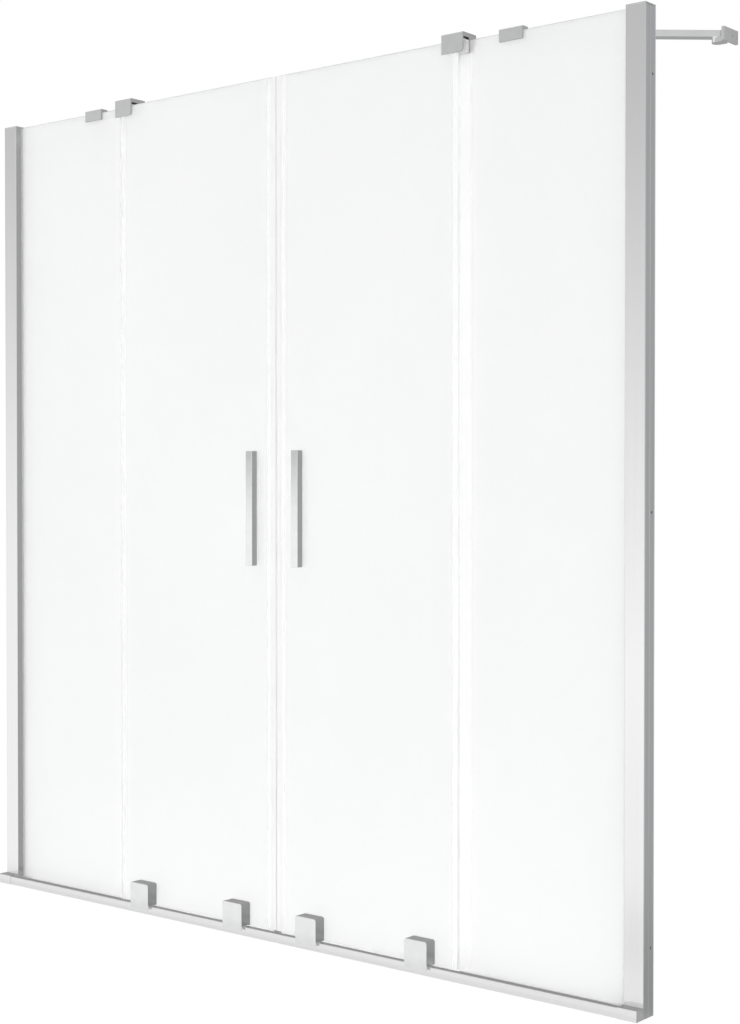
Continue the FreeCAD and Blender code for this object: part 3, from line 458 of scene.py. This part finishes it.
def socketed(node_name, outward, corner_radius, depth):
    """A copy of a node of screws with hex sockets in the ends that look outward."""
    bm = welded_copy(node_name)
    way = Vector(outward)
    ends = [
        face for face in bm.faces
        if face.normal.dot(way) > SAME_WAY and len(face.verts) > ROUND_END
    ]
    middles = [face.calc_center_bounds() for face in ends]
    rims = [face.edges[:] for face in ends]
    bmesh.ops.delete(bm, geom=ends, context="FACES_ONLY")
    turn = way.to_track_quat("Z", "Y").to_matrix().to_4x4()
    for middle, rim in zip(middles, rims):
        ring = bmesh.ops.create_circle(
            bm, cap_ends=False, radius=corner_radius, segments=HEXAGON,
            matrix=Matrix.Translation(middle) @ turn,
        )
        mouth = list({edge for vert in ring["verts"] for edge in vert.link_edges})
        bmesh.ops.bridge_loops(bm, edges=rim + mouth)
        wall = bmesh.ops.extrude_edge_only(bm, edges=mouth)["geom"]
        foot = [item for item in wall if isinstance(item, bmesh.types.BMVert)]
        bmesh.ops.translate(bm, verts=foot, vec=way * -depth)
        floor_edges = [
            item for item in wall
            if isinstance(item, bmesh.types.BMEdge) and all(vert in foot for vert in item.verts)
        ]
        bmesh.ops.edgeloop_fill(bm, edges=floor_edges)
    bmesh.ops.bevel(
        bm, geom=[edge for rim in rims for edge in rim], offset=RIM_BEVEL, offset_type="OFFSET",
        segments=BEVEL_STEPS, profile=0.5, affect="EDGES", clamp_overlap=True, material=-1,
    )
    bmesh.ops.recalc_face_normals(bm, faces=bm.faces[:])
    shade_by_angle(bm)
    mesh = bpy.data.meshes.new(f"{node_name}_socketed")
    bm.to_mesh(mesh)
    bm.free()
    print(f"{node_name}: {len(ends)} sockets, {len(mesh.polygons)} faces")
    return link_piece(f"{node_name}_socketed", mesh, [node_name])


# %% Screws
TO_BATH = (0.0, 1.0, 0.0)
UP = (0.0, 0.0, 1.0)
socketed("post_lock_screws", TO_BATH, 1.45 * MM, 1.3 * MM)
socketed("left_carriage_screws", TO_BATH, 1.7 * MM, 1.6 * MM)
socketed("right_carriage_screws", TO_BATH, 1.7 * MM, 1.6 * MM)
socketed("clip_set_screws", TO_BATH, 1.45 * MM, 1.5 * MM)
socketed("brace_pivot_screws", UP, 1.75 * MM, 2.0 * MM)

# %% [markdown]
# ## The studio
# The photograph shows the screen cut out on white. The floor is a plain pale sheet, and the world
# is white wherever the camera, a reflection or the glass looks at it. The floor glows a little
# above white there, so next to no shadow shows on it. A glow of 1 would keep more of it.

# %% Floor and world
FLOOR_SIZE = 80.0
FLOOR_DROP = 0.5 * MM
AMBIENT = 0.55
GLOW_SHARE = 0.86
GLOW_STRENGTH = 1.08

floor_mesh = bpy.data.meshes.new("floor")
bm = bmesh.new()
bmesh.ops.create_grid(bm, x_segments=1, y_segments=1, size=FLOOR_SIZE / 2)
bmesh.ops.translate(bm, verts=bm.verts[:], vec=(0.0, 0.0, -FLOOR_DROP))
bm.to_mesh(floor_mesh)
bm.free()
floor = bpy.data.objects.new("floor", floor_mesh)
bpy.context.scene.collection.objects.link(floor)


def seen_by_eye(tree):
    """1 for rays from the camera, a reflection or a transmission, and 0 for bounced light."""
    path = tree.nodes.new("ShaderNodeLightPath")
    first = tree.nodes.new("ShaderNodeMath")
    first.operation = "MAXIMUM"
    both = tree.nodes.new("ShaderNodeMath")
    both.operation = "MAXIMUM"
    tree.links.new(path.outputs["Is Camera Ray"], first.inputs[0])
    tree.links.new(path.outputs["Is Glossy Ray"], first.inputs[1])
    tree.links.new(first.outputs[0], both.inputs[0])
    tree.links.new(path.outputs["Is Transmission Ray"], both.inputs[1])
    return both.outputs[0]


paper = bpy.data.materials.new("pale_paper")
paper.use_nodes = True
paper_tree = paper.node_tree
paper_face = paper_tree.nodes["Principled BSDF"]
paper_face.inputs["Base Color"].default_value = (0.92, 0.92, 0.92, 1.0)
paper_face.inputs["Roughness"].default_value = 0.9
paper_glow = paper_tree.nodes.new("ShaderNodeEmission")
paper_glow.inputs["Strength"].default_value = GLOW_STRENGTH
paper_share = paper_tree.nodes.new("ShaderNodeMath")
paper_share.operation = "MULTIPLY"
paper_share.inputs[1].default_value = GLOW_SHARE
paper_mix = paper_tree.nodes.new("ShaderNodeMixShader")
paper_tree.links.new(seen_by_eye(paper_tree), paper_share.inputs[0])
paper_tree.links.new(paper_share.outputs[0], paper_mix.inputs[0])
paper_tree.links.new(paper_face.outputs[0], paper_mix.inputs[1])
paper_tree.links.new(paper_glow.outputs[0], paper_mix.inputs[2])
paper_tree.links.new(paper_mix.outputs[0], paper_tree.nodes["Material Output"].inputs["Surface"])
floor_mesh.materials.append(paper)

world = bpy.data.worlds.new("white_studio")
bpy.context.scene.world = world
world.use_nodes = True
world_tree = world.node_tree
sky = world_tree.nodes["Background"]
sky.inputs["Color"].default_value = (1.0, 1.0, 1.0, 1.0)
level = world_tree.nodes.new("ShaderNodeMapRange")
level.inputs["To Min"].default_value = AMBIENT
level.inputs["To Max"].default_value = 1.0
world_tree.links.new(seen_by_eye(world_tree), level.inputs["Value"])
world_tree.links.new(level.outputs["Result"], sky.inputs["Strength"])
print("floor and world ready")

# %% [markdown]
# ## The cards
# Grey cards, seen only in reflections, do what a photographer's cards do: they give the polished
# metal something darker to mirror, so its faces read apart from the white. A card can run from
# one grey at its foot to another at its head. One more card hangs behind the screen for the glass
# alone: its grey fades to white at the floor, and so does the tone of the panes.

# %% Helper for cards
TO_ROOM = (0.0, -1.0, 0.0)


def card(name, width, height, middle, facing, foot, head=None, span=(0.55, 2.75)):
    """A card for reflections only; its grey runs from foot to head over the span of heights."""
    mesh = bpy.data.meshes.new(name)
    bm = bmesh.new()
    bmesh.ops.create_grid(bm, x_segments=1, y_segments=1, size=0.5)
    turn = Vector(facing).to_track_quat("Z", "Y").to_matrix().to_4x4()
    place = Matrix.Translation(middle) @ turn @ Matrix.Diagonal((width, height, 1.0, 1.0))
    bmesh.ops.transform(bm, matrix=place, verts=bm.verts[:])
    bm.to_mesh(mesh)
    bm.free()
    paint = bpy.data.materials.new(name)
    paint.use_nodes = True
    tree = paint.node_tree
    place_node = tree.nodes.new("ShaderNodeTexCoord")
    split = tree.nodes.new("ShaderNodeSeparateXYZ")
    greys = tree.nodes.new("ShaderNodeMapRange")
    greys.inputs["From Min"].default_value = span[0]
    greys.inputs["From Max"].default_value = span[1]
    greys.inputs["To Min"].default_value = foot
    greys.inputs["To Max"].default_value = foot if head is None else head
    glow = tree.nodes.new("ShaderNodeEmission")
    tree.links.new(place_node.outputs["Object"], split.inputs[0])
    tree.links.new(split.outputs["Z"], greys.inputs["Value"])
    tree.links.new(greys.outputs["Result"], glow.inputs["Strength"])
    tree.links.new(glow.outputs[0], tree.nodes["Material Output"].inputs["Surface"])
    mesh.materials.append(paint)
    panel = bpy.data.objects.new(name, mesh)
    bpy.context.scene.collection.objects.link(panel)
    panel.visible_camera = False
    panel.visible_diffuse = False
    panel.visible_transmission = False
    panel.visible_shadow = False
    return panel


# %% Cards
card("back_card", 5.35, 4.0, (-1.825, 0.5, 2.0), TO_ROOM, 0.38)
card("side_card", 3.65, 4.0, (2.675, 0.5, 2.0), TO_ROOM, 0.47)
card("sweep_card", 9.0, 0.47, (0.0, 0.265, 0.0), UP, 0.36)
card("end_card", 2.2, 0.63, (1.8302, -0.285, 0.0), UP, 0.42)
card("track_card", 1.46, 0.010, (0.0, 0.007, 0.025), TO_ROOM, 0.3)
# These two strips on the floor in front of the rail are painted shadow, seen only in reflections.
# They are grey, darkest next to the rail, where the floor's shade by the rail would be, and the
# rail's front mirrors them.
card("near_painted_shadow", 4.73, 0.02, (-1.635, -0.036, 0.0), UP, 0.82)
card("far_painted_shadow", 4.73, 0.054, (-1.635, -0.073, 0.0), UP, 0.91)
card("foot_card", 0.73, 0.35, (0.365, -0.425, 0.0), UP, 0.86)
card("toe_card", 0.33, 0.15, (0.565, -0.175, 0.0), UP, 0.92)
card("left_cap_card", 0.034, 0.06, (-0.713, -0.0045, 0.047), TO_ROOM, 0.36)
card("right_cap_card", 0.034, 0.06, (0.713, -0.0045, 0.047), TO_ROOM, 0.36)
card(
    "handle_card", 0.3, 0.24, (-0.34, -0.39, 0.82), (0.675, 0.738, 0.0), 1.0, 0.52,
    span=(0.73, 0.89),
)
card("front_card", 12.0, 5.5, (-3.2, -3.9, 3.3), (0.633, 0.774, 0.0), 1.0, 0.56)
card("right_card", 4.0, 4.0, (3.9, -2.1, 2.6), (-0.855, 0.515, 0.0), 0.66)

veil = card(
    "veil_card", 9.0, 5.0, (-2.5, 2.2, 2.5), TO_ROOM, 1.0, 0.93, span=(0.0, 0.35)
)
veil.visible_glossy = False
veil.visible_transmission = True
print("cards ready")

# %% [markdown]
# ## Soft lamps
# A large lamp in front on the left is the key, and a weaker one of the same size fills from the
# right. They light white plastic to just under white. A weak strip along the floor lifts the foot
# of the panes, as a white floor would. A lamp behind the screen lights the bath side. Its shadows
# are off, so that none falls towards the viewer, and a little of its light shows from the front
# too. Reflections see the cards and the white room instead, and no lamp glows through the satin
# glass when one looks from behind.

# %% Lamps
MIDDLE = (0.0, 0.0, 0.55)
LARGE = (1.25, 1.25)
STRIP = (1.6, 0.04)


def soft_lamp(name, place, aim, size, watts):
    """An area lamp at a place, turned to its aim; size is its width and height in metres."""
    lamp = bpy.data.lights.new(name, "AREA")
    lamp.shape = "RECTANGLE"
    lamp.size, lamp.size_y = size
    lamp.energy = watts
    holder = bpy.data.objects.new(name, lamp)
    bpy.context.scene.collection.objects.link(holder)
    holder.location = place
    holder.rotation_euler = (Vector(aim) - Vector(place)).to_track_quat("-Z", "Y").to_euler()
    holder.visible_camera = False
    holder.visible_glossy = False
    holder.visible_transmission = False
    return holder


soft_lamp("key_lamp", (-1.8, -4.9, 0.65), MIDDLE, LARGE, 63.0)
soft_lamp("fill_lamp", (2.8, -2.9, 0.65), MIDDLE, LARGE, 18.0)
soft_lamp("strip_lamp", (0.0, -0.3, 0.04), (0.0, 0.0, 0.06), STRIP, 0.11)
back_lamp = soft_lamp("back_lamp", (0.0, 5.0, 0.65), MIDDLE, LARGE, 26.0)
back_lamp.data.use_shadow = False
print("lamps ready")

# %% [markdown]
# ## The camera
# The place, the turn and the lens come from the straight edges of the photograph. The camera stands
# to the right, a little above half height, and looks almost level.

# %% Camera
TILT_DOWN = 0.863
TURN_LEFT = 39.297
eye = bpy.data.cameras.new("photo_camera")
eye.lens = 62.14
eye.sensor_width = 36.0
viewer = bpy.data.objects.new("photo_camera", eye)
bpy.context.scene.collection.objects.link(viewer)
viewer.location = (2.0641, -2.2732, 0.7901)
viewer.rotation_euler = (math.radians(90 - TILT_DOWN), 0.0, math.radians(TURN_LEFT))
bpy.context.scene.camera = viewer
bpy.context.scene.view_settings.view_transform = "Standard"
print("camera at", tuple(viewer.location))
